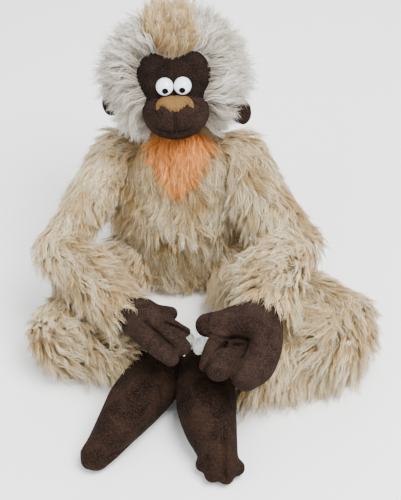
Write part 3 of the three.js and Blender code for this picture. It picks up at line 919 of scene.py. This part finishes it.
def build_nose():
    """A tan flap over the top of the muzzle, with a trimmed lower edge and a stitched middle."""
    across, rows = 49, 16
    x = np.linspace(-18, 18, across)
    top = np.radians(np.interp(np.abs(x), [0, 12, 16, 18], [53, 52, 46, 37]))
    rng = np.random.default_rng(61)
    ragged = np.radians(rng.uniform(-2.5, 2.5, across))
    bottom = np.interp(np.abs(x), [0, 4, 8, 12, 14.5, 17, 18], [16, 19, 26, 31, 27, 22, 25])
    bottom = np.radians(bottom) + ragged
    sheets = []
    for lift in (1.7, -0.6):
        for i in range(rows + 1):
            share = i / rows
            polar = top + (bottom - top) * share
            edge = np.minimum(min(share, 1 - share) * 2, 1.2 * (1 - np.abs(x) / 18))
            puff = lift
            if lift > 0:
                puff = lift * np.clip(edge * 4, 0.15, 1) - 0.7 * np.exp(-(x / 0.9) ** 2)
            sheets.append(on_face(*on_muzzle(x, polar, puff)))
    verts = np.vstack(sheets)
    layer = (rows + 1) * across
    faces = []
    for i in range(rows):
        for j in range(across - 1):
            a = i * across + j
            faces.append((a, a + across, a + across + 1, a + 1))
            faces.append((layer + a, layer + a + 1, layer + a + across + 1, layer + a + across))
    border = list(range(across))
    border += [i * across + across - 1 for i in range(1, rows + 1)]
    border += [rows * across + j for j in range(across - 2, -1, -1)]
    border += [i * across for i in range(rows - 1, 0, -1)]
    for a, b in zip(border, border[1:] + border[:1]):
        faces.append((a, b, layer + b, layer + a))
    nose = make_mesh("nose_flap", verts, faces, NOSE)
    stand_in(nose, "head", "nose_patch")


def build_mouth():
    """Dark thread: a chain of stitches along the mouth and up the middle seam."""
    stitches = []
    for x in np.arange(-MOUTH_HALF, MOUTH_HALF, 2.6):
        ends = np.array([x, x + 1.9])
        stitches.append(on_face(*on_muzzle(ends, mouth_polar(ends), -0.8)))
    for degrees in np.arange(-33, 14, 4.6):
        polar = np.radians([degrees, degrees + 3.2])
        stitches.append(on_face(*on_muzzle(np.zeros(2), polar, -0.5)))
    tubes = [Tube(ends, [0.5, 0.75, 0.5], steps=4) for ends in stitches]
    thread = make_mesh("mouth_thread", *joined(tubes, 8), THREAD)
    stand_in(thread, "head", "mouth_stitch")


EAR_CENTRE = np.array([65, -27, 12.0])
EAR_TILT = 8                       # the left ear sits lower and the right ear higher
EAR_HALF_WIDTH = 9
EAR_HALF_HEIGHT = 13
EAR_STALK = 17                     # how far the ear's root reaches back into the hood


def build_ears():
    """Cupped plush ears: a thick rim round a hollow that faces forwards."""
    rings, around = 12, 40
    turn = circle(around)
    for side, sign in SIDES.items():
        centre = EAR_CENTRE * [sign, 1, 1] - [0, sign * EAR_TILT, 0]
        verts = []
        for i in range(1, 2 * rings):
            swing = math.pi * i / (2 * rings)
            radius = math.sin(swing)
            depth = 4.6 * math.cos(swing)
            if depth > 0:
                depth -= 4.2 * (1 - radius ** 4)
            height = EAR_HALF_HEIGHT * radius * np.sin(turn)
            reach = sign * EAR_HALF_WIDTH * radius * np.cos(turn)
            cup = centre + np.stack([reach, height, np.full(around, 0.65 * depth)], axis=1)
            stalk = np.clip(-radius * np.cos(turn), 0, 1) ** 1.5
            verts.append(cup - EAR_STALK * stalk[:, None] * unit(centre))
        faces = ring_faces(len(verts), around, flip=True)
        ear = make_mesh(f"ear_{side}_cup", on_face(*np.vstack(verts).T), faces, BROWN)
        refine(ear)
        stand_in(ear, "head", f"ear_{side}")


# ---- hands and feet
# Each limb end is a list of (points, radii) that fuse into one plush skin.
HANDS = {
    "right": [
        ([(-60, -153, 95), (-50, -159, 96), (-36, -167, 96), (-19, -177, 95)], [13.5, 15.5, 17.5, 16]),
        ([(-48, -172, 92), (-25, -198, 90), (-5, -215, 87)], [9.5, 9.5, 8.3]),
        ([(-26, -175, 94), (-10, -190, 92), (6, -203, 89)], [10, 9.5, 8.2]),
        ([(-14, -174, 98), (-2, -183, 98), (9.5, -191, 97)], [6, 5.2, 4.6]),
        ([(-22, -168, 99), (-6, -168, 98)], [9, 7.3]),
    ],
    "left": [
        ([(92, -158, 100), (82, -170, 99), (66, -178, 98), (50, -180, 97)], [14, 18.5, 20, 15.5]),
        ([(84, -178, 95), (83, -203, 92), (75, -226, 90), (62, -239, 89)], [16, 15.5, 15.5, 13.5]),
        ([(74, -200, 80), (58, -208, 78), (45, -221, 87), (38, -229, 88)], [11, 11, 13, 12]),
        ([(74, -190, 81), (54, -194, 78)], [12, 12]),
        ([(42, -190, 95), (30, -212, 92), (25.5, -227, 90)], [9, 7.2, 5.8]),
        ([(46, -181, 98), (28, -184, 98)], [13, 11.5]),
    ],
}
# A crease is a line of points with its depth and width.
CREASES = {
    "hand_right": [
        ([(-29, -184, 102), (-16, -201, 102), (-3, -219, 102)], 3.4, 1.8),
        ([(-10, -188, 104), (1, -194, 104), (12, -203, 104)], 3.4, 1.8),
    ],
    "hand_left": [
        ([(54, -213, 96), (64, -213, 96)], 8.0, 5.0),
        ([(45, -210, 100), (34, -226, 100), (26, -244, 100)], 6.0, 1.7),
        ([(60, -226, 98), (51, -248, 98), (50, -261, 98)], 6.0, 1.9),
        ([(31, -200, 102), (44, -206, 102), (58, -204, 100), (70, -210, 100)], 3.0, 1.8),
        ([(29, -179, 108), (27, -201, 108)], 2.4, 1.6),
    ],
    "foot_right": [([(-39, -251, 12), (-53, -261, 12), (-65, -269, 12)], 3.4, 2.2)],
    "foot_left": [
        ([(44, -256, 25), (44, -304, 25)], 3.4, 2.2),
        ([(28, -275, 22), (30, -302, 22)], 3.4, 2.2),
    ],
}
FEET = {
    "right": {
        "body": [(-43, -221, 26), (-57, -247, 24), (-67, -260, 17), (-74, -268, 13)],
        "radii": [19, 25, 29, 27, 21, 15],
        "toes": [(-83, -264, 10), (-80, -272, 9.5), (-72, -272, 10), (-64, -264, 10)],
        "toe_radii": [7, 8.5, 8.5, 8],
    },
    "left": {
        "body": [(28, -221, 28), (31, -243, 26), (36, -262, 21), (40, -275, 16)],
        "radii": [19, 25, 30, 29, 25, 18],
        "toes": [(24, -277, 11), (33, -287, 10), (45, -289, 10), (55, -281, 11)],
        "toe_radii": [8, 9, 9, 8.5],
    },
}


def finish_plush(piece, kind, side):
    """Fills a hand or foot, presses its creases in, and puts it in the CAD node's place."""
    inflate(piece)
    refine(piece)
    for line, depth, width in CREASES[f"{kind}_{side}"]:
        sink(piece, line, depth, width)
    keep_above(piece, FOOT_BOTTOM)
    stand_in(piece, f"{side}_{kind}", f"{kind}_{side}")


def build_hand(side):
    tubes = [Tube(points, radii, steps=24) for points, radii in HANDS[side]]
    finish_plush(fused(f"hand_{side}_plush", tubes, BROWN, voxel=1.6, smooth=2), "hand", side)


def build_foot(side):
    limb, plan = LIMB[side], FEET[side]
    body = [limb["ankle"], limb["heel"], *plan["body"]]
    tubes = [Tube(body, plan["radii"], steps=40, squash=0.93)]
    base = 0.5 * (np.array(plan["body"][-1]) + plan["body"][-2])
    for tip, radius in zip(plan["toes"], plan["toe_radii"]):
        root = base + 0.4 * (np.array(tip) - base)
        tubes.append(Tube([root, tip], [radius * 0.9, radius], steps=8))
    finish_plush(fused(f"foot_{side}_plush", tubes, FOOT_BROWN, voxel=2.0, smooth=3), "foot", side)


# The middle of each palm patch, and the direction that it faces.
PATCHES = {
    "right": ((12.0, -195, 89), (0.75, -0.2, 0.6)),
    "left": ((22.0, -204, 92), (-0.30, -0.50, 0.80)),
}
PATCH_R = 8.5
PATCH_PROFILE = [                  # share of the radius, height
    (0.05, 1.5), (0.45, 1.4), (0.8, 1.0), (0.97, 0.4), (1.0, -0.3), (0.9, -1.2), (0.05, -1.3),
]


def build_patch(side):
    """A small round pad of loop cloth sewn to the palm."""
    centre, facing = PATCHES[side]
    facing = unit(np.array(facing))
    across = unit(np.cross(facing, [0, 0, 1.0]))
    over = np.cross(facing, across)
    around = 32
    turn = circle(around)
    verts = []
    for share, height in PATCH_PROFILE:
        edge = PATCH_R * share * (1 + 0.06 * np.cos(4 * turn))
        verts.append(centre + edge[:, None] * (np.cos(turn)[:, None] * across + np.sin(turn)[:, None] * over)
                     + height * facing)
    faces = ring_faces(len(verts), around)
    patch = make_mesh(f"patch_{side}_loops", np.vstack(verts), faces, PATCH)
    stand_in(patch, f"{side}_hand", f"hand_patch_{side}")


# ---- arms and legs
def between(a, b, share):
    """A point at this share of the way from one joint to the next."""
    return a + share * (b - a)


def blend_over(piece, parent, child, joint, before, after, reach):
    """Puts a piece's transform into its mesh. The parent, child, joint, before, after and reach are not
    used.
    """
    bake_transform(piece)


def limb_flow(along, outward, hang):
    return along + 0.15 * outward - hang * UP


def cover_limb(part, side, tube, roots, flow, length, seed, bend, **style):
    """A skin round a tube and the fur on it, in place of the CAD fur node, which is hidden."""
    skin = make_mesh(f"{part}_skin_{side}", *tube.mesh(), BACKING)
    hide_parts(f"{part}_fur_{side}")
    place, outward = roots
    piles = grow(f"{part}_pile_{side}", place, outward, flow, length, CREAM, seed, tube.push_out, **style)
    for piece in (skin, *piles):
        blend_over(piece, *bend)


def build_arm(side):
    shoulder, elbow, wrist = [LIMB[side][joint] for joint in ("shoulder", "elbow", "wrist")]
    inner = shoulder + [-SIDES[side] * 26, 4, 2]
    upper = Tube([inner, shoulder, between(shoulder, elbow, 0.45)], [14, 15, 16, ARM_SKIN_R], steps=30)
    lower = Tube([between(shoulder, elbow, 0.35), between(shoulder, elbow, 0.75), elbow,
                  between(elbow, wrist, 0.35), between(elbow, wrist, 0.93)],
                 [ARM_SKIN_R, ARM_SKIN_R, 18, 18.5, 17.5, 15.5], steps=48)
    rng = np.random.default_rng(40 + SIDES[side])
    for part, tube, depth, bend in (
        ("upper_arm", upper, 7.0, ("torso", f"{side}_upper_arm", shoulder, inner, elbow, 14)),
        ("forearm", lower, 9.0, (f"{side}_upper_arm", f"{side}_forearm", elbow, shoulder, wrist, 22)),
    ):
        place, outward, along, _ = tube_roots(tube, LOCK_SPACING, rng)
        inward = np.clip(-outward[:, 0] * SIDES[side], 0, 1)
        length = 32.0 + (-20 if side == "right" else 4) * inward
        lean = 0.68 - (0.25 * inward if side == "left" else 0)
        cover_limb(part, side, tube, (place, outward), limb_flow(along, outward, 0.35), length,
                   42 + SIDES[side], bend, lean=lean, depth=depth)


# How far each leg's skin runs off its knee joint.
KNEE_SHIFT = {"right": (-2, -3, 0), "left": (0, -4, -2)}


def build_leg(side):
    hip, knee, ankle = [LIMB[side][joint] for joint in ("hip", "knee", "ankle")]
    inner = hip + [-SIDES[side] * 14, 8, 0]
    upper = Tube([inner, hip, between(hip, knee, 0.5)], [20, LEG_SKIN_R - 1, LEG_SKIN_R], steps=30)
    lower = Tube([between(hip, knee, 0.4), between(hip, knee, 0.8), knee + KNEE_SHIFT[side],
                  between(knee, ankle, 0.45), between(knee, ankle, 0.95)],
                 [LEG_SKIN_R, 26, 27, 24, 19.5], steps=48)
    rng = np.random.default_rng(50 + SIDES[side])
    for part, tube, bend in (
        ("thigh", upper, ("torso", f"{side}_thigh", hip, inner, knee, 16)),
        ("shin", lower, (f"{side}_thigh", f"{side}_shin", knee, hip, ankle, 26)),
    ):
        place, outward, along, _ = tube_roots(tube, LOCK_SPACING, rng)
        away = np.clip(outward[:, 0] * SIDES[side], 0, 1) ** 2
        if side == "right":
            length = 34.0 - 16 * away
            flow = limb_flow(along, outward, 0.3)
        else:
            front = np.clip(-outward[:, 1], 0, 1)
            length = 36.0 + 18 * front - 16 * away
            flow = 0.6 * along + 0.2 * outward + [0.1, -0.75, -0.4]
        cover_limb(part, side, tube, (place, outward), flow, length, 52 + SIDES[side], bend, lean=0.66)


# ---- stage
# The camera and the lights are placed in metres. A light has its place, power and width.
TARGET = Vector((0.022, -0.076, 0.095))
CAMERA_UP = math.radians(42)
CAMERA_DISTANCE = 1.15
LENS = 82.8
LIT = Vector((0, -0.08, 0.12))
LIGHTS = {
    "window": ((0.6, -0.5, 1.6), 72, 1.0),
    "fill": ((-1.2, -0.9, 1.0), 18, 1.2),
    "rim": ((0.3, 1.3, 1.2), 12, 0.9),
}
FLOOR_HALF = 4000


def build_camera():
    data = bpy.data.cameras.new("camera")
    data.lens = LENS
    camera = add_object("camera", data)
    away = Vector((0, -math.cos(CAMERA_UP), math.sin(CAMERA_UP)))
    camera.location = TARGET + CAMERA_DISTANCE * away
    camera.rotation_euler = (math.pi / 2 - CAMERA_UP, 0, 0)
    bpy.context.scene.camera = camera


def build_floor():
    paint = Paint("floor", 0.9)
    pale = paint.ramp(paint.noise(3.0, 2), [(0.3, (0.95, 0.95, 0.94)), (0.7, (0.97, 0.97, 0.96))])
    corners = [(x * FLOOR_HALF, y * FLOOR_HALF, 0) for x, y in ((-1, -1), (1, -1), (1, 1), (-1, 1))]
    floor = make_mesh("floor", corners, [(0, 1, 2, 3)], paint.finish(pale), smooth=False)


def build_lights():
    """Soft studio light: a pale world and three wide lamps."""
    world = bpy.data.worlds.new("studio")
    world.use_nodes = True
    background = world.node_tree.nodes["Background"]
    set_inputs(background.inputs, {"Color": (0.93, 0.96, 1.0, 1), "Strength": 1.0})
    bpy.context.scene.world = world
    for name, (place, power, width) in LIGHTS.items():
        light = bpy.data.lights.new(name, "AREA")
        light.energy = power
        light.size = width
        lamp = add_object(name, light)
        lamp.location = place
        lamp.rotation_euler = (LIT - Vector(place)).to_track_quat("-Z", "Y").to_euler()


def paint_hidden_nodes():
    """Materials for the CAD nodes that stay: the fillings, pellet bag, seat panel and eye washers."""
    for name, node in frame["nodes"].items():
        if "stuffing" in name:
            material = FIBRE
        elif name in ("bean_bag", "seat_panel"):
            material = CANVAS
        elif name.startswith("eye_washer"):
            material = WASHER
        else:
            material = BROWN
        if not node.data.materials:
            node.data.materials.append(material)
        for slot in node.material_slots:
            slot.material = material


build_camera()
build_floor()
build_lights()
paint_hidden_nodes()
build_torso()
build_throat()
build_head_skin()
build_head_fur()
build_brow()
build_muzzle()
build_nose()
build_mouth()
build_eyes()
build_ears()
for limb_side in SIDES:
    build_hand(limb_side)
    build_foot(limb_side)
    build_patch(limb_side)
    build_arm(limb_side)
    build_leg(limb_side)
